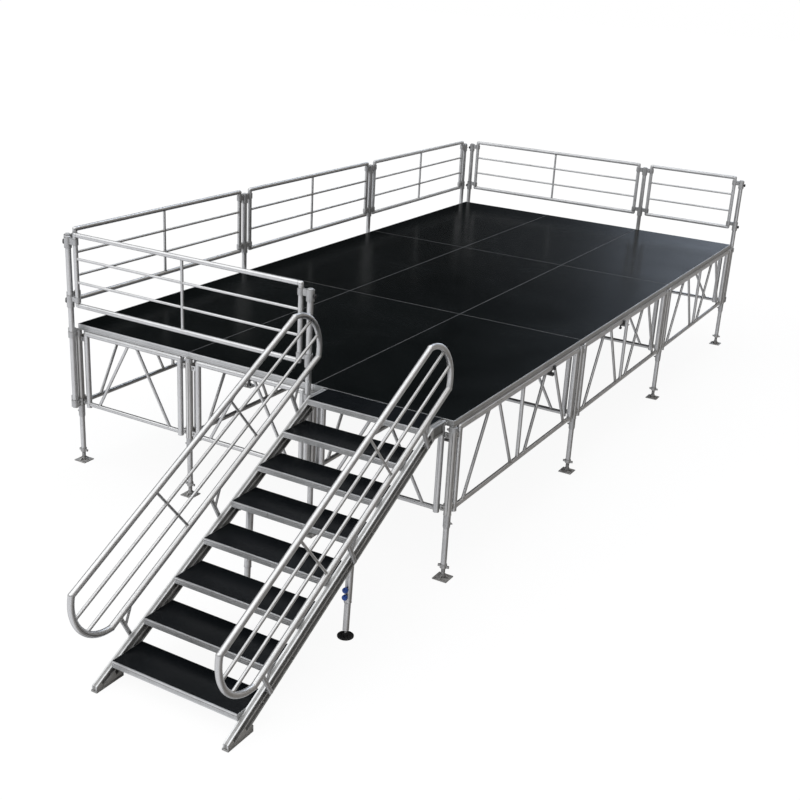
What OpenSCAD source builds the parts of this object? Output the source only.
// Demountable stage riser: nine decks on hook-in truss frames and telescopic
// legs, with guard rails on three sides and a stair at one corner bay.
// Units are millimetres. X runs across the short side of the deck, Y along
// the long side away from the stair, Z up from the floor, and the origin is
// the centre of the deck footprint on the floor. Front is -Y, left is -X.

/* [Deck] */
// Width of one deck (and of one short bay)
panel_w = 1220; // [1160:10:1250]
// Length of one deck (and of one long bay)
panel_l = 2440; // [2300:10:2500]
// Height of the walking surface above the floor
deck_h = 1280; // [1280:1:1290]
// Thickness of the deck boards
board_t = 18; // [15:1:21]
// Depth of the edge frame round each deck
edge_h = 50; // [48:1:50]

/* [Truss frames] */
// Radius of the top chords and end posts
chord_r = 24; // [22:0.5:24]
// Radius of the bottom chords
low_r = 19; // [17:0.5:20]
// Radius of the diagonals
diag_r = 13; // [11:0.5:14]
// Height of the bottom chord's axis
low_z = 560; // [556:1:564]

/* [Legs] */
// Outside radius of the fluted leg sleeves
sleeve_r = 30; // [29.5:0.1:30.5]
// Outside radius of the telescopic inner tubes
leg_r = 22.5; // [21.5:0.1:22.5]
// Side of the square base plates
plate_w = 120; // [110:5:160]

/* [Guard rails] */
// Radius of the guard posts
post_r = 24; // [22:0.5:24]
// Radius of the rail frames
rail_r = 20; // [18:0.5:20]
// Top of the guard posts
post_top = 2050; // [2050:1:2056]

/* [Stair] */
// Width of the treads
tread_w = 985; // [960:5:985]
// Depth of each tread
tread_d = 280; // [276:1:280]
// Radius of the handrail loops
loop_r = 22; // [20:0.5:22]

/* [Hidden] */
$fn = 48;
over = 1;           // how far cutters run past the faces they open
fit = 0.1;          // clearance round bolts and sliding tubes
leg_x = [for (i = [0:3]) (i - 1.5) * panel_w];
leg_y = [for (j = [0:3]) (j - 1.5) * panel_l];
edge_y = leg_y[0];  // front edge of the deck, where the stair hooks on
bay_x = panel_w;    // middle of the right-hand bay
top_z = deck_h - edge_h - chord_r - 1; // axis of the top chords
bolt_r = 5;
pin_r = 6;          // hook pins
tube_wall = 3;      // leg tubes and guard posts

// leg sleeves and what fits them
sleeve_bot = 530;
sleeve_top = top_z - 2;
sleeve_wall = 4;
plug_r = sleeve_r - sleeve_wall - 0.05; // parts pushed into the sleeves
bush_bot = 425;
bush_r = 28;
lock_z = 618;       // bolts that lock the inner tubes
lock_angles = [45, 225];
stop_z = 468;       // stop pins in the guide bushes

// hooks between sleeves and truss frames
lug_z = [555, top_z - 70]; // undersides of the lower and upper lugs
lug_h = 40;
lug_t = 10;
lug_reach = 62;     // leg centre to lug tip
pin_reach = 48;     // leg centre to hook pin
post_gap = 95;      // leg centre to truss end post

alu = [0.72, 0.73, 0.75];
alu_dark = [0.45, 0.46, 0.48];
black = [0.05, 0.055, 0.06];
zinc = [0.4, 0.41, 0.42];
blue = [0.05, 0.15, 0.5];

// ---------- helpers ----------
// round bar between two points
module rod(start, end, r) {
    run = end - start;
    length = norm(run);
    turn = (run[0] == 0 && run[1] == 0) ? 0 : atan2(run[1], run[0]);
    translate(start) rotate([0, acos(run[2] / length), turn]) cylinder(h = length, r = r);
}
// cylinder along +X
module bar_x(h, r) { rotate([0, 90, 0]) cylinder(h = h, r = r); }
// cylinder along Y, centred on y = 0
module cross_bar(h, r) { translate([0, h / 2, 0]) rotate([90, 0, 0]) cylinder(h = h, r = r); }
// upright cylinder standing at height z
module column(z, h, r) { translate([0, 0, z]) cylinder(h = h, r = r); }
// upright tube, open at both ends
module tube(z, h, r, wall) {
    difference() {
        column(z, h, r);
        column(z - over, h + 2 * over, r - wall);
    }
}
// block centred on the Z axis, with its underside at height z
module slab(w, l, z, h) { translate([-w / 2, -l / 2, z]) cube([w, l, h]); }

// ---------- deck ----------
board_w = panel_w - 12;
board_l = panel_l - 12;
board_z = deck_h - board_t; // underside of the boards

module at_decks() {
    for (i = [-1:1], j = [-1:1]) translate([i * panel_w, j * panel_l, 0]) children();
}
module deck_boards() {
    color(black) at_decks() slab(board_w, board_l, board_z, board_t);
}

// extruded edge: a ledge for the board, a lip round it and a channel below
module deck_edge_frame() {
    w = panel_w - 1;
    l = panel_l - 1;
    z = deck_h - edge_h;
    rim = 32;         // width of the whole edge
    outer_wall = 5.5;
    channel_end = 27; // outer face to the inner side of the channel
    ledge_t = 6;
    difference() {
        slab(w, l, z, edge_h);
        slab(w - 2 * rim, l - 2 * rim, z - over, edge_h + 2 * over);
        slab(board_w, board_l, board_z, board_t + over);
        difference() {
            slab(w - 2 * outer_wall, l - 2 * outer_wall, z - over,
                edge_h - board_t - ledge_t + over);
            slab(w - 2 * channel_end, l - 2 * channel_end, z - 2 * over, edge_h);
        }
    }
}
module deck_edge_frames() {
    color(alu) at_decks() deck_edge_frame();
}

// three box-section joists under each board
module deck_cross_joists() {
    length = panel_w - 65;
    joist_w = 40;
    joist_h = 30;
    wall = 3;
    color(alu_dark)
        at_decks()
            for (k = [-1:1]) translate([0, k * panel_l / 4, 0])
                difference() {
                    slab(length, joist_w, board_z - joist_h, joist_h);
                    slab(length + 2 * over, joist_w - 2 * wall,
                        board_z - joist_h + wall, joist_h - 2 * wall);
                }
}

// collar round a top chord along X, cut flat near its top, with a lever hanging below
module deck_joint_clamp() {
    collar_w = 40;
    lug_d = 14;
    flat_drop = 8;  // chord's top to the flat
    below = 120;    // depth of the trimming box under the chord
    difference() {
        intersection() {
            union() {
                translate([-collar_w / 2, 0, top_z]) bar_x(collar_w, chord_r + 8);
                // side lug
                translate([-14, -chord_r - lug_d, top_z - 20]) cube([28, lug_d, 34]);
                // lever and its grip
                slab(16, 12, top_z - 66, 44);
                slab(28, 20, top_z - 76, 16);
            }
            slab(60, 120, top_z - below, below + chord_r - flat_drop);
        }
        translate([-collar_w / 2 - over, 0, top_z]) bar_x(collar_w + 2 * over, chord_r);
    }
}
module deck_joint_clamps() {
    side_y = 565; // clamps on the long chords of the front and back rows, from the deck centre
    color(black) {
        // every short chord but the one above the left front bay
        for (i = [-1:1], j = [0:3]) if (i > -1 || j > 0)
            translate([i * panel_w, leg_y[j], 0]) deck_joint_clamp();
        for (i = [0:3], y = [side_y - panel_l, -180])
            translate([leg_x[i], y, 0]) rotate([0, 0, 90]) deck_joint_clamp();
        for (i = [0:2])
            translate([leg_x[i], panel_l + side_y, 0]) rotate([0, 0, 90]) deck_joint_clamp();
    }
}

// ---------- legs ----------
module at_leg(i, j) { translate([leg_x[i], leg_y[j], 0]) children(); }

// true where leg (i, j) carries a truss frame towards side 0..3: +X, +Y, -X, -Y
function has_frame(i, j, side) =
    side == 0 ? i < 3 : side == 1 ? j < 3 : side == 2 ? i > 0 : j > 0;
// side of leg (i, j) the stop pin stands on
function stop_angle(i, j) = (i == 3 && j == 0) ? 0 : 180;

// turned towards each truss frame of a leg, at the underside of each lug
module at_lugs(i, j) {
    for (side = [0:3]) if (has_frame(i, j, side))
        rotate([0, 0, 90 * side]) for (z = lug_z) translate([0, 0, z]) children();
}
// radial hole for a bolt or stop pin
module bolt_hole(angle, z) {
    rotate([0, 0, angle]) translate([10, 0, z]) bar_x(30, bolt_r + fit);
}

module leg_sleeve(i, j) {
    height = sleeve_top - sleeve_bot;
    lug_root = 3; // overlap of a lug with the sleeve wall
    difference() {
        union() {
            column(sleeve_bot, height, sleeve_r);
            at_lugs(i, j) translate([sleeve_r - lug_root, -lug_t / 2, 0])
                cube([lug_reach - sleeve_r + lug_root, lug_t, lug_h]);
        }
        column(sleeve_bot - over, height + 2 * over, sleeve_r - sleeve_wall);
        // flutes
        for (k = [0:7]) rotate([0, 0, 22.5 + 45 * k]) translate([sleeve_r + 1.2, 0, 0])
            column(sleeve_bot - over, height + 2 * over, 3.2);
        at_lugs(i, j) translate([pin_reach, 0, lug_h / 2]) cross_bar(20, pin_r + fit);
        for (angle = lock_angles) bolt_hole(angle, lock_z);
    }
}
module leg_sleeves() {
    color(alu) for (i = [0:3], j = [0:3]) at_leg(i, j) leg_sleeve(i, j);
}

// stepped bush in the mouth of each sleeve, bored for the inner tube
module leg_guide_bushes() {
    taper_h = 12;
    taper_top = bush_bot + taper_h;
    color(alu_dark)
        for (i = [0:3], j = [0:3]) at_leg(i, j)
            difference() {
                union() {
                    translate([0, 0, bush_bot]) cylinder(h = taper_h, r1 = bush_r - 2.5, r2 = bush_r);
                    column(taper_top, sleeve_bot - taper_top, bush_r);
                    column(sleeve_bot, 110, plug_r);
                }
                column(bush_bot - 5, 230, leg_r + fit);
                for (angle = lock_angles) bolt_hole(angle, lock_z);
                bolt_hole(stop_angle(i, j), stop_z);
            }
}

// cap on each sleeve, with a plug inside it
module leg_head_caps() {
    plug_h = 24;
    color(alu_dark)
        for (i = [0:3], j = [0:3]) at_leg(i, j) {
            column(sleeve_top, deck_h - edge_h - sleeve_top, sleeve_r);
            column(sleeve_top - plug_h, plug_h, plug_r);
        }
}

// hex bolts: two through each sleeve into its bush, one across each post clamp,
// and a headed stop pin in each bush below the sleeve
module leg_and_clamp_bolts() {
    shank_x = leg_r + 0.3; // shanks stop just clear of the inner tube
    clamp_bolt_l = 58;
    head_h = 6;
    color(zinc) {
        for (i = [0:3], j = [0:3]) at_leg(i, j) {
            for (angle = lock_angles) rotate([0, 0, angle]) {
                translate([shank_x, 0, lock_z]) bar_x(8.5, bolt_r);
                translate([sleeve_r + fit, 0, lock_z]) bar_x(head_h, 9, $fn = 6);
            }
            rotate([0, 0, stop_angle(i, j)]) {
                translate([shank_x, 0, stop_z]) bar_x(24, bolt_r);
                translate([bush_r + fit, 0, stop_z]) bar_x(9, 9);
            }
        }
        for (post = posts, span = clamp_spans)
            translate([post[0], post[1], span[0] + span[1] / 2]) rotate([0, 0, post[2]])
                translate([clamp_bolt_x, 0, 0]) rotate([90, 0, 0]) {
                    column(-clamp_bolt_l / 2, clamp_bolt_l, bolt_r);
                    for (z = [-clamp_bolt_l / 2, clamp_bolt_l / 2 - head_h])
                        column(z, head_h, 8, $fn = 6);
                }
    }
}

// telescopic tube, jack screw, jack nut and base plate of one leg
module adjustable_leg(i, j) {
    tube_bot = 120;
    screw_r = 15;
    nut_z = 88;
    plate_t = 8;
    collar_h = 26;
    collar_top = plate_t + collar_h;
    gusset_end = plate_w / 2 - 7;
    hole_in = plate_w / 2 - 20; // leg centre to the base plate holes
    at_leg(i, j) {
        color(alu) tube(tube_bot, 680, leg_r, tube_wall);
        // jack screw
        color(zinc) column(plate_t + fit, 232, screw_r);
        // jack nut with two wings
        color(zinc) difference() {
            union() {
                column(nut_z, tube_bot - fit - nut_z, 27);
                slab(92, 14, nut_z + 4, 18);
            }
            column(nut_z - over, 34, screw_r + fit);
        }
        // base plate with four gussets round a collar
        color(zinc) difference() {
            union() {
                slab(plate_w, plate_w, 0, plate_t);
                column(plate_t, collar_h, 22);
                for (k = [0:3]) rotate([0, 0, 90 * k]) translate([0, 3, 0]) rotate([90, 0, 0])
                    linear_extrude(height = 6)
                        polygon([
                            [16, plate_t - 2], [gusset_end, plate_t - 2],
                            [gusset_end, plate_t + 3], [20, collar_top], [16, collar_top]
                        ]);
            }
            column(plate_t, collar_h + over, screw_r + fit);
            for (x = [-1, 1], y = [-1, 1]) translate([x * hole_in, y * hole_in, 0])
                column(-over, plate_t + 2 * over, 6);
        }
    }
}

// ---------- truss frames ----------
// a diagonal and its mirror image as [x at the bottom chord, x at the top chord],
// each end given by its distance from the leg centre
function diagonals(span, low_in, top_in) =
    [for (s = [-1, 1]) [s * (span / 2 - low_in), s * (span / 2 - top_in)]];
long_diagonals = concat(diagonals(panel_l, 235, 595), diagonals(panel_l, 1090, 765));
short_diagonals = diagonals(panel_w, 210, 570);

// every tube of a frame that spans along X, thinned by inset
module truss_tubes(span, slants, uprights, inset) {
    end_x = span / 2 - post_gap;
    rod([-end_x, 0, top_z], [end_x, 0, top_z], chord_r - inset);
    rod([-end_x, 0, low_z], [end_x, 0, low_z], low_r - inset);
    for (x = [-end_x, end_x]) {
        translate([x, 0, top_z]) sphere(r = chord_r - inset);
        // the bore runs out of the foot of the end post
        rod([x, 0, sleeve_bot - (inset > 0 ? over : 0)], [x, 0, top_z], chord_r - inset);
    }
    for (x = uprights) rod([x, 0, low_z], [x, 0, top_z], diag_r + 3 - inset);
    for (slant = slants) rod([slant[0], 0, low_z], [slant[1], 0, top_z], diag_r - inset);
}
// frame with its four hook plates
module truss_frame(span, slants, uprights) {
    end_x = span / 2 - post_gap;
    difference() {
        union() {
            truss_tubes(span, slants, uprights, 0);
            for (turn = [0, 180], z = lug_z) rotate([0, 0, turn])
                translate([end_x + 16, lug_t / 2, z]) cube([44, 8, lug_h]);
        }
        truss_tubes(span, slants, uprights, 2.8);
        for (s = [-1, 1], z = lug_z)
            translate([s * (span / 2 - pin_reach), 0, z + lug_h / 2]) cross_bar(40, pin_r + fit);
    }
}
module long_truss_frames() {
    color(alu)
        for (i = [0:3], j = [-1:1]) translate([leg_x[i], j * panel_l, 0])
            rotate([0, 0, 90]) truss_frame(panel_l, long_diagonals, [0]);
}
module short_truss_frames() {
    color(alu)
        for (i = [-1:1], j = [0:3]) translate([i * panel_w, leg_y[j], 0])
            truss_frame(panel_w, short_diagonals, []);
}

// pin along Y with a head at each end
module hook_pin() {
    rod([0, 11, 0], [0, -17, 0], pin_r);
    rod([0, -13.1, 0], [0, -17, 0], 9);
    rod([0, 11, 0], [0, 5.1, 0], 8.5);
}
// pins through the lug and hook plate pairs; a hook plate lies on the +Y side of its
// frame's right end, which is the -Y side of the lug as seen from the leg
module frame_hook_pins() {
    color(zinc)
        for (i = [0:3], j = [0:3]) at_leg(i, j) at_lugs(i, j)
            translate([pin_reach, 0, lug_h / 2]) hook_pin();
}

// ---------- guard rails ----------
guard_gap = 74;     // leg centre to guard post
rail_top_z = 2080;  // axes of the rail frame's top and bottom tubes
rail_low_z = 1475;
rail_in = 85;       // guard post to the rail frame's end vertical
clamp_bolt_x = (sleeve_r + guard_gap - post_r) / 2;
clamp_spans = [[540, 60], [top_z - 30, 50]]; // post clamps: [underside, height]
// guard posts: [leg x, leg y, outward angle, angles towards the rail frames]
posts = [
    [leg_x[0], leg_y[0], 270, [0]],
    [leg_x[2], leg_y[0], 270, [180]],
    [leg_x[0], leg_y[0], 180, [90]],
    [leg_x[0], leg_y[1], 180, [90, 270]],
    [leg_x[0], leg_y[2], 180, [90, 270]],
    [leg_x[0], leg_y[3], 180, [270]],
    [leg_x[0], leg_y[3], 90, [0]],
    [leg_x[2], leg_y[3], 90, [0, 180]],
    [leg_x[3], leg_y[3], 90, [180]]
];
module at_post(post) {
    translate([post[0] + guard_gap * cos(post[2]), post[1] + guard_gap * sin(post[2]), 0])
        children();
}

module guard_posts() {
    color(alu)
        for (post = posts) at_post(post)
            tube(sleeve_bot, post_top - sleeve_bot, post_r, tube_wall);
}
// chamfered cap on each post, with a plug inside it
module guard_post_caps() {
    rim_h = 4;
    plug_h = 20;
    color(alu_dark)
        for (post = posts) at_post(post) {
            column(post_top, rim_h, post_r);
            translate([0, 0, post_top + rim_h]) cylinder(h = 4, r1 = post_r, r2 = post_r - 6);
            column(post_top - plug_h, plug_h, post_r - tube_wall - 0.05);
        }
}

// double saddle between a leg sleeve (at the origin) and a guard post (on +X)
module post_clamp(z, h) {
    wall = 9;
    difference() {
        union() {
            translate([guard_gap, 0, 0]) column(z, h, post_r + wall);
            // only the post side of the sleeve is gripped
            intersection() {
                column(z, h, sleeve_r + wall);
                translate([19, -50, z]) cube([60, 100, h]);
            }
            translate([20, -23, z]) cube([guard_gap - 30, 46, h]);
        }
        column(z - over, h + 2 * over, sleeve_r);
        translate([guard_gap, 0, 0]) column(z - over, h + 2 * over, post_r);
        translate([clamp_bolt_x, 0, z + h / 2]) cross_bar(80, bolt_r + fit);
    }
}
module guard_post_clamps() {
    color(alu_dark)
        for (post = posts) translate([post[0], post[1], 0]) rotate([0, 0, post[2]])
            for (span = clamp_spans) post_clamp(span[0], span[1]);
}

// tubes of a rail frame in the X Z plane, thinned by inset
module rail_tubes(half_l, uprights, inset) {
    thin_inset = inset * 0.7; // the slimmer tubes have thinner walls
    for (z = [rail_low_z, rail_top_z]) rod([-half_l, 0, z], [half_l, 0, z], rail_r - inset);
    for (x = [-half_l, half_l]) {
        rod([x, 0, rail_low_z], [x, 0, rail_top_z], rail_r - inset);
        for (z = [rail_low_z, rail_top_z]) translate([x, 0, z]) sphere(r = rail_r - inset);
    }
    for (k = [1, 2]) {
        z = rail_low_z + k * (rail_top_z - rail_low_z) / 3;
        rod([-half_l, 0, z], [half_l, 0, z], 11 - thin_inset);
    }
    for (x = uprights) rod([x, 0, rail_low_z], [x, 0, rail_top_z], 12.5 - thin_inset);
}
// rail frame between guard posts a given span apart
module rail_frame(span, uprights) {
    half_l = span / 2 - rail_in;
    difference() {
        rail_tubes(half_l, uprights, 0);
        rail_tubes(half_l, uprights, 2.5);
        // drain holes
        for (x = [-half_l, half_l])
            rod([x, 0, rail_low_z - rail_r - over], [x, 0, rail_low_z], 4);
    }
}
module guard_rail_front() {
    color(alu) translate([leg_x[1], leg_y[0] - guard_gap, 0]) rail_frame(2 * panel_w, [0]);
}
module guard_rail_left(j) {
    color(alu) translate([leg_x[0] - guard_gap, j * panel_l, 0])
        rotate([0, 0, 90]) rail_frame(panel_l, [0]);
}
module guard_rail_left_1() { guard_rail_left(-1); }
module guard_rail_left_2() { guard_rail_left(0); }
module guard_rail_left_3() { guard_rail_left(1); }
module guard_rail_back_long() {
    color(alu) translate([leg_x[1], leg_y[3] + guard_gap, 0]) rail_frame(2 * panel_w, [0]);
}
module guard_rail_back_short() {
    color(alu) translate([bay_x, leg_y[3] + guard_gap, 0]) rail_frame(panel_w, []);
}

// collar on a guard post with an arm to each rail frame beside it
module rail_clamp(angles, collar_bot, collar_top, arm_bot, arm_top) {
    collar_h = collar_top - collar_bot;
    arm_h = arm_top - arm_bot;
    difference() {
        union() {
            column(collar_bot, collar_h, post_r + 8);
            for (angle = angles) rotate([0, 0, angle]) {
                translate([rail_in, 0, 0]) column(arm_bot, arm_h, rail_r + 7);
                translate([post_r, -13, arm_bot]) cube([rail_in - post_r, 26, arm_h]);
            }
        }
        column(collar_bot - over, collar_h + 2 * over, post_r);
        for (angle = angles) rotate([0, 0, angle]) translate([rail_in, 0, 0])
            column(arm_bot - over, arm_h + 2 * over, rail_r);
    }
}
module guard_rail_clamps() {
    color(alu_dark)
        for (post = posts) at_post(post) {
            rail_clamp(post[3], rail_top_z - 120, post_top - 2, rail_top_z - 85, rail_top_z - 35);
            rail_clamp(post[3], rail_low_z - 30, rail_low_z + 72, rail_low_z + 26, rail_low_z + 68);
        }
}
// hand knobs that tighten the collars, on the side away from the rail frames
module guard_clamp_knobs() {
    color(black)
        for (post = posts, z = [rail_top_z - 78, rail_low_z + 16]) at_post(post)
            rotate([0, 0, len(post[3]) > 1 ? post[2] : post[3][0] + 180]) {
                translate([post_r + 8, 0, z]) bar_x(4, 5);
                translate([post_r + 11, 0, z]) bar_x(13, 14);
            }
}

// ---------- stair ----------
n_tread = 8;        // the first tread is level with the deck
rise = deck_h / n_tread;
going = 302.5;
slope = atan(rise / going);
stair_x = bay_x + 22.5;
tread_x = stair_x - tread_w / 2; // left end of the treads
nose_h = 45;        // height of the tread frames
top_front_y = edge_y - 5.5 - tread_d;
low_front_y = top_front_y - (n_tread - 1) * going;
tread_board_t = 14;
tread_bolt_y = [100, 215]; // from the tread's front edge
tread_bolt_z = -22;        // from the tread's top
stringer_w = 40;
stringer_d = 100;   // square to the slope
stringer_x = tread_x - stringer_w; // outer face of the left stringer
low_line_z = rise - nose_h; // stringer top edge below the lowest tread's front
head_y = edge_y - 40;       // upper end of the stringers
head_z = deck_h - 4;
foot_back_y = low_front_y + 92.5;
foot_front_y = foot_back_y - 230;
hinge_y = edge_y - 25;
hinge_z = deck_h - 22;
hinge_r = 8;

// mirrored copy about the stair's middle
module right() { translate([2 * stair_x, 0, 0]) mirror([1, 0, 0]) children(); }
module both() {
    children();
    right() children();
}
// the stringer's sloping top edge
function line_z(y) = low_line_z + (y - low_front_y) * tan(slope);
function line_y(z) = low_front_y + (z - low_line_z) / tan(slope);

// at the top front edge of each tread
module at_treads() {
    for (k = [0:n_tread - 1])
        translate([0, top_front_y - k * going, deck_h - k * rise]) children();
}
// cylinders along +X from x, in a tread's two bolt places
module bolt_pair(x, h, r) {
    for (y = tread_bolt_y) translate([x, y, tread_bolt_z]) bar_x(h, r);
}

module stringer() {
    drop = stringer_d / cos(slope); // depth measured upright
    head_bot = deck_h - 100;
    foot_z = 12;
    groove_d = 15;
    // sloping grooves: [start, underside, length, height], along and square to the slope
    grooves = [[-110, -44, 2540, 35], [0, -91, 2430, 37]];
    difference() {
        // side outline, cut level at the floor pad and at deck height
        translate([stringer_x, 0, 0]) rotate([90, 0, 90])
            linear_extrude(height = stringer_w)
                polygon([
                    [foot_front_y, foot_z], [foot_front_y, line_z(foot_front_y)],
                    [line_y(head_z), head_z], [head_y, head_z],
                    [head_y, head_bot], [line_y(head_bot + drop), head_bot],
                    [foot_back_y, line_z(foot_back_y) - drop], [foot_back_y, foot_z]
                ]);
        // grooves on each face leave a web, a mid ridge and the flanges
        for (x = [stringer_x - over, stringer_x + stringer_w - groove_d]) {
            for (groove = grooves)
                translate([x, low_front_y, low_line_z]) rotate([slope, 0, 0])
                    translate([0, groove[0], groove[1]])
                        cube([groove_d + over, groove[2], groove[3]]);
            // level pocket at the head
            translate([x, head_y - 162, deck_h - 88]) cube([groove_d + over, 150, 76]);
        }
        at_treads() bolt_pair(stringer_x - over, stringer_w + 2 * over, bolt_r + fit);
    }
}
module stair_stringer_left() { color(alu) stringer(); }
module stair_stringer_right() { color(alu) right() stringer(); }

// place and plan size of the board's recess in a tread
recess_x = 3;
recess_y = 6;
recess_w = tread_w - 2 * recess_x;
recess_d = tread_d - 9;

module stair_tread_frames() {
    open_x = 30; // opening under the board
    open_y = 26;
    color(alu)
        at_treads() translate([tread_x, 0, 0])
            difference() {
                translate([0, 0, -nose_h]) cube([tread_w, tread_d, nose_h]);
                translate([recess_x, recess_y, -tread_board_t])
                    cube([recess_w, recess_d, tread_board_t + over]);
                translate([open_x, open_y, -nose_h - over])
                    cube([tread_w - 2 * open_x, tread_d - 2 * open_y, nose_h + 2 * over]);
                // shallow grooves along the front face
                for (z = [-15, -24, -33])
                    translate([-over, -over, z]) cube([tread_w + 2 * over, 2.2, 3]);
                for (x = [-over, tread_w - 27]) bolt_pair(x, 28, bolt_r + fit);
            }
}
module stair_tread_boards() {
    color(black)
        at_treads() translate([tread_x + recess_x, recess_y, -tread_board_t])
            cube([recess_w, recess_d, tread_board_t]);
}
module stair_tread_bolts() {
    seat_x = stringer_x + 15; // web of the stringer
    head_h = 6;
    color(zinc)
        both() at_treads() {
            bolt_pair(seat_x, 50, bolt_r);
            bolt_pair(seat_x - head_h, head_h, 8, $fn = 6);
        }
}

// hook plates on the deck edge with the hinge pin between two ears
module stair_hook_brackets() {
    width = 48;
    ear_t = 6;
    ear_r = 12;
    color(zinc)
        both() translate([stringer_x - 10, 0, 0]) {
            translate([0, edge_y - 4, hinge_z - 24]) cube([width, 4.5, 44]);
            for (x = [0, width - ear_t]) {
                translate([x, hinge_y, hinge_z - ear_r])
                    cube([ear_t, edge_y - 3 - hinge_y, 2 * ear_r]);
                translate([x, hinge_y, hinge_z]) bar_x(ear_t, ear_r);
            }
            translate([0, hinge_y, hinge_z]) bar_x(width, hinge_r);
        }
}
// eyes on the stringer heads that turn on the pins
module stair_hook_eyes() {
    width = 30;
    color(alu_dark)
        both() translate([stringer_x - 2, 0, 0])
            difference() {
                union() {
                    translate([0, hinge_y, hinge_z]) bar_x(width, 18);
                    translate([0, head_y, hinge_z - 17]) cube([width, hinge_y - head_y, 34]);
                }
                translate([-over, hinge_y, hinge_z]) bar_x(width + 2 * over, hinge_r + 0.08);
                // cut flush with the stringer's end
                translate([-over, head_y - 20, hinge_z - 30]) cube([width + 2 * over, 20, 60]);
            }
}

// floor pads with an upturned heel under the stringers
module stair_foot_pads() {
    width = stringer_w + 8;
    heel_y = foot_back_y - foot_front_y + 5;
    heel_t = 8;
    color(zinc)
        both() translate([stringer_x - 4, foot_front_y - 5, 0]) {
            cube([width, heel_y + heel_t, 12]);
            translate([0, heel_y, 0]) cube([width, heel_t, 46]);
        }
}

// ---------- handrails ----------
// Each loop lies in a Y Z plane; its points are [y, z]. "Head" is the end by the
// deck, "foot" the end by the floor.
loop_x = stringer_x - loop_r - 1;
loop_l = 2566;      // straight length of the top and bottom rails
arc_r = 308;        // axis radius of the end arcs
up_slope = [cos(slope), sin(slope)];
low_head = [edge_y - 60, deck_h + 260];
top_head = [edge_y - 380, deck_h + 642];
low_foot = low_head - loop_l * up_slope;
top_foot = top_head - loop_l * up_slope;
head_chord = low_head - top_head;
chord_l = norm(head_chord);
head_centre = (low_head + top_head) / 2
    - sqrt(arc_r * arc_r - chord_l * chord_l / 4) * [-head_chord[1], head_chord[0]] / chord_l;
foot_centre = top_head + low_foot - head_centre;

function at_x(x, point) = [x, point[0], point[1]];
// distance from a point, up (side 1) or down (side -1) the slope, to an end arc
function reach(point, centre, side) =
    let (offset = point - centre, along = side * (offset * up_slope))
    -along + sqrt(along * along - (offset * offset - arc_r * arc_r));
// head end of mid rail k
function mid_head(k) = top_head + k / 3 * head_chord;

module loop_rod(start, end, r) { rod(at_x(0, start), at_x(0, end), r); }
// end arc from one point to another, anticlockwise in Y Z, stopped short by trim
// degrees at both ends
module loop_arc(centre, start, end, r, trim = 0) {
    start_a = atan2(start[1] - centre[1], start[0] - centre[0]);
    end_a = atan2(end[1] - centre[1], end[0] - centre[0]);
    sweep = end_a > start_a ? end_a - start_a : end_a - start_a + 360;
    translate(at_x(0, centre)) rotate([90, 0, 90]) rotate([0, 0, start_a + trim])
        rotate_extrude(angle = sweep - 2 * trim) translate([arc_r, 0]) circle(r = r);
}
module loop_body() {
    loop_arc(head_centre, low_head, top_head, loop_r);
    loop_arc(foot_centre, top_foot, low_foot, loop_r);
    // weld beads at the four corners
    for (point = [top_head, low_head, top_foot, low_foot])
        translate(at_x(0, point)) sphere(r = loop_r + 1.5);
    loop_rod(top_foot, top_head, loop_r);
    loop_rod(low_foot, low_head, loop_r);
    // two mid rails
    for (k = [1, 2]) {
        head = mid_head(k);
        foot = head - loop_l * up_slope;
        loop_rod(foot - reach(foot, foot_centre, -1) * up_slope,
            head + reach(head, head_centre, 1) * up_slope, 11.5);
    }
    // two spacers
    for (s = [855, 1711]) loop_rod(top_head - s * up_slope, low_head - s * up_slope, 9.5);
}
// bores of the tubes, each with drain holes
module loop_bores() {
    bore_r = loop_r - 2.5;
    drain_r = 4;
    for (rail = [[top_foot, top_head], [low_foot, low_head]]) {
        loop_rod(rail[0] + 30 * up_slope, rail[1] - 30 * up_slope, bore_r);
        for (point = [rail[0] + 40 * up_slope, rail[1] - 40 * up_slope])
            loop_rod(point, point + [0, -40], drain_r);
    }
    loop_arc(head_centre, low_head, top_head, bore_r, 6);
    loop_arc(foot_centre, top_foot, low_foot, bore_r, 6);
    arc_out = arc_r + loop_r + over;
    loop_rod(foot_centre - [0, arc_out], foot_centre - [0, arc_r], drain_r);
    loop_rod(head_centre + [arc_out, 0], head_centre + [arc_r, 0], drain_r);
    for (k = [1, 2]) {
        head = mid_head(k);
        foot = head - loop_l * up_slope;
        drain = foot + 60 * up_slope;
        loop_rod(foot + 40 * up_slope, head - 40 * up_slope, 9.7);
        loop_rod(drain, drain + [0, -30], 3);
    }
}
module handrail() {
    translate([loop_x, 0, 0]) difference() {
        loop_body();
        loop_bores();
    }
}
module stair_handrail_left() { color(alu) handrail(); }
module stair_handrail_right() { color(alu) right() handrail(); }

// braced stand-offs from the bottom rail to the outside of the stringer
module stair_handrail_brackets() {
    down = [sin(slope), -cos(slope)]; // square to the slope
    color(alu_dark)
        both()
            for (s = [400, 1450, 2480]) {
                point = low_head - s * up_slope;
                // rail axis to the stringer's top edge
                depth = (point[1] - line_z(point[0])) * cos(slope);
                joint = point + (depth + 27) * down;
                difference() {
                    union() {
                        rod(at_x(loop_x, point), at_x(loop_x, point + (depth + 38) * down), 15);
                        rod(at_x(loop_x, joint), at_x(stringer_x + 15, joint), 13);
                        // brace
                        rod(at_x(loop_x, point + 130 * up_slope),
                            at_x(loop_x, point + 105 * down), 9);
                    }
                    // seat of the rail
                    rod(at_x(loop_x, point - 60 * up_slope),
                        at_x(loop_x, point + 200 * up_slope), loop_r + 0.05);
                }
            }
}

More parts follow.
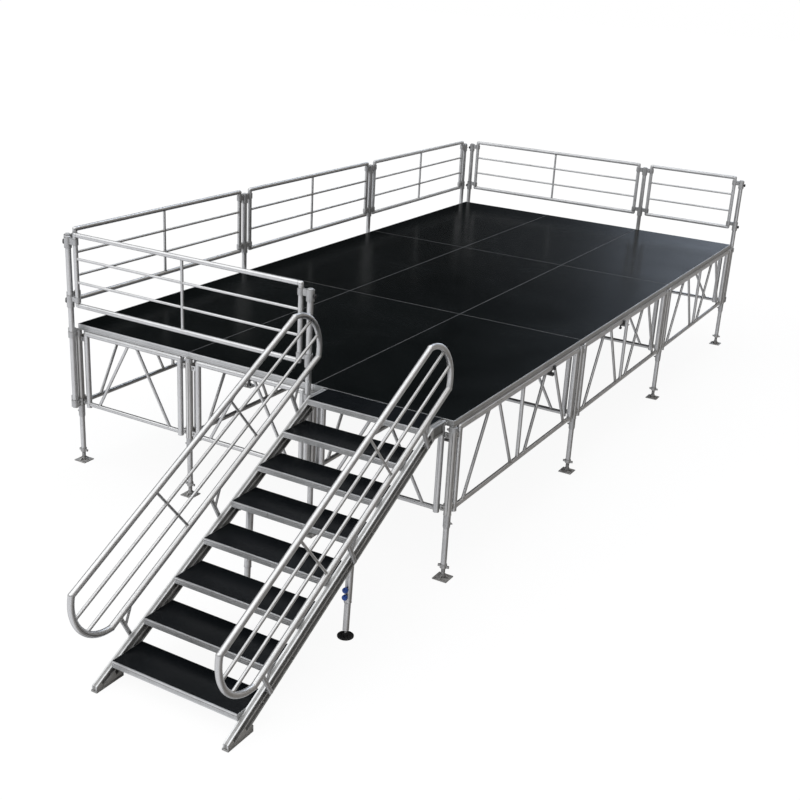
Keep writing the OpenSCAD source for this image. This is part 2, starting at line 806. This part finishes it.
// ---------- stair support legs ----------
support_x = tread_x + 70;
support_y = top_front_y - 784.5;
support_z = 715;    // pivot height
tilt = 2.9;         // the foot stands forward of the pivot
ball_r = 12;
ball_z = 24;
support_l = (support_z - ball_z) / cos(tilt); // pivot to ball
pivot_r = 8;
plunger_at = [347, 401]; // upper and lower plungers, down the leg from the pivot
boss_l = 34;        // plunger bosses, from the leg's axis

// frame of the left support leg: origin at the pivot, leg along -Z
module in_leg() {
    translate([support_x, support_y, support_z]) rotate([-tilt, 0, 0]) children();
}
// plate under the stringer with the fixed pivot pin
module stair_leg_pivots() {
    plate_t = 8;
    pin_x = tread_x + plate_t;
    color(zinc)
        both() {
            translate([tread_x, support_y - 35, support_z - 25]) cube([plate_t, 70, 64]);
            translate([pin_x, support_y, support_z]) bar_x(35, 14);
            translate([pin_x, support_y, support_z]) bar_x(97, pivot_r);
            translate([support_x + 27, support_y, support_z]) bar_x(6, 13);
        }
}
// children at a distance down the leg, with Z out of its front (face 1) or back (-1)
module on_face(down, face) { translate([0, 0, -down]) rotate([90 * face, 0, 0]) children(); }

module support_sleeve(face) {
    bottom = -453;
    length = 478;
    in_leg() difference() {
        union() {
            column(bottom, length, 26);
            for (down = plunger_at) on_face(down, face) cylinder(h = boss_l, r = 11);
        }
        column(bottom - over, length + 2 * over, leg_r + fit);
        translate([-40, 0, 0]) bar_x(80, pivot_r + 0.08);
        for (down = plunger_at) on_face(down, face) cylinder(h = 40, r = bolt_r + 0.08);
    }
}
module stair_leg_sleeve_left() { color(alu) support_sleeve(-1); }
module stair_leg_sleeve_right() { color(alu) right() support_sleeve(1); }

// tube closed at the bottom, with a ball on a stem below it
module inner_leg() {
    tube_up = 27;   // ball to the tube's lower end
    top_down = 180; // pivot to the tube's upper end
    in_leg() {
        difference() {
            column(-support_l + tube_up, support_l - tube_up - top_down, leg_r);
            column(-support_l + tube_up + 10, support_l, leg_r - tube_wall);
        }
        column(-support_l, 30, 6);
        translate([0, 0, -support_l]) sphere(r = ball_r);
    }
}
module stair_inner_leg_left() { color(alu) inner_leg(); }
module stair_inner_leg_right() { color(alu) right() inner_leg(); }

// flat rubber foot with a socket for the ball
module foot_disc() {
    translate([support_x, support_y - support_l * sin(tilt), 0])
        difference() {
            union() {
                cylinder(h = 9, r = 58);
                translate([0, 0, 9]) cylinder(h = 3, r1 = 58, r2 = 54);
                column(12, 20, 22);
            }
            translate([0, 0, ball_z]) sphere(r = ball_r + 0.08);
            column(ball_z, 9, 9.6);
        }
}
module stair_foot_disc_left() { color(black) foot_disc(); }
module stair_foot_disc_right() { color(black) right() foot_disc(); }

// index plunger with a round grip
module plunger(down, face) {
    in_leg() on_face(down, face) {
        column(leg_r + 0.3, 14, bolt_r);
        column(boss_l + 0.5, 20, 19);
    }
}
module stair_leg_knob_left_upper() { color(blue) plunger(plunger_at[0], -1); }
module stair_leg_knob_left_lower() { color(blue) plunger(plunger_at[1], -1); }
module stair_leg_knob_right_upper() { color(blue) right() plunger(plunger_at[0], 1); }
module stair_leg_knob_right_lower() { color(blue) right() plunger(plunger_at[1], 1); }

// ---------- the sixteen legs: rows a to d from the front, 1 to 4 from the left ----------
module adjustable_leg_a1() { adjustable_leg(0, 0); }
module adjustable_leg_a2() { adjustable_leg(1, 0); }
module adjustable_leg_a3() { adjustable_leg(2, 0); }
module adjustable_leg_a4() { adjustable_leg(3, 0); }
module adjustable_leg_b1() { adjustable_leg(0, 1); }
module adjustable_leg_b2() { adjustable_leg(1, 1); }
module adjustable_leg_b3() { adjustable_leg(2, 1); }
module adjustable_leg_b4() { adjustable_leg(3, 1); }
module adjustable_leg_c1() { adjustable_leg(0, 2); }
module adjustable_leg_c2() { adjustable_leg(1, 2); }
module adjustable_leg_c3() { adjustable_leg(2, 2); }
module adjustable_leg_c4() { adjustable_leg(3, 2); }
module adjustable_leg_d1() { adjustable_leg(0, 3); }
module adjustable_leg_d2() { adjustable_leg(1, 3); }
module adjustable_leg_d3() { adjustable_leg(2, 3); }
module adjustable_leg_d4() { adjustable_leg(3, 3); }

// ---------- drawing ----------
deck_boards();
deck_edge_frames();
deck_cross_joists();
deck_joint_clamps();
leg_sleeves();
leg_guide_bushes();
leg_head_caps();
leg_and_clamp_bolts();
long_truss_frames();
short_truss_frames();
frame_hook_pins();
guard_posts();
guard_post_caps();
guard_post_clamps();
guard_rail_front();
guard_rail_left_1();
guard_rail_left_2();
guard_rail_left_3();
guard_rail_back_long();
guard_rail_back_short();
guard_rail_clamps();
guard_clamp_knobs();
stair_hook_brackets();
stair_hook_eyes();
stair_stringer_left();
stair_stringer_right();
stair_tread_frames();
stair_tread_boards();
stair_tread_bolts();
stair_handrail_left();
stair_handrail_right();
stair_handrail_brackets();
stair_leg_pivots();
stair_foot_pads();
stair_leg_sleeve_left();
stair_leg_sleeve_right();
stair_inner_leg_left();
stair_inner_leg_right();
stair_foot_disc_left();
stair_foot_disc_right();
stair_leg_knob_left_upper();
stair_leg_knob_left_lower();
stair_leg_knob_right_upper();
stair_leg_knob_right_lower();
adjustable_leg_a1();
adjustable_leg_a2();
adjustable_leg_a3();
adjustable_leg_a4();
adjustable_leg_b1();
adjustable_leg_b2();
adjustable_leg_b3();
adjustable_leg_b4();
adjustable_leg_c1();
adjustable_leg_c2();
adjustable_leg_c3();
adjustable_leg_c4();
adjustable_leg_d1();
adjustable_leg_d2();
adjustable_leg_d3();
adjustable_leg_d4();
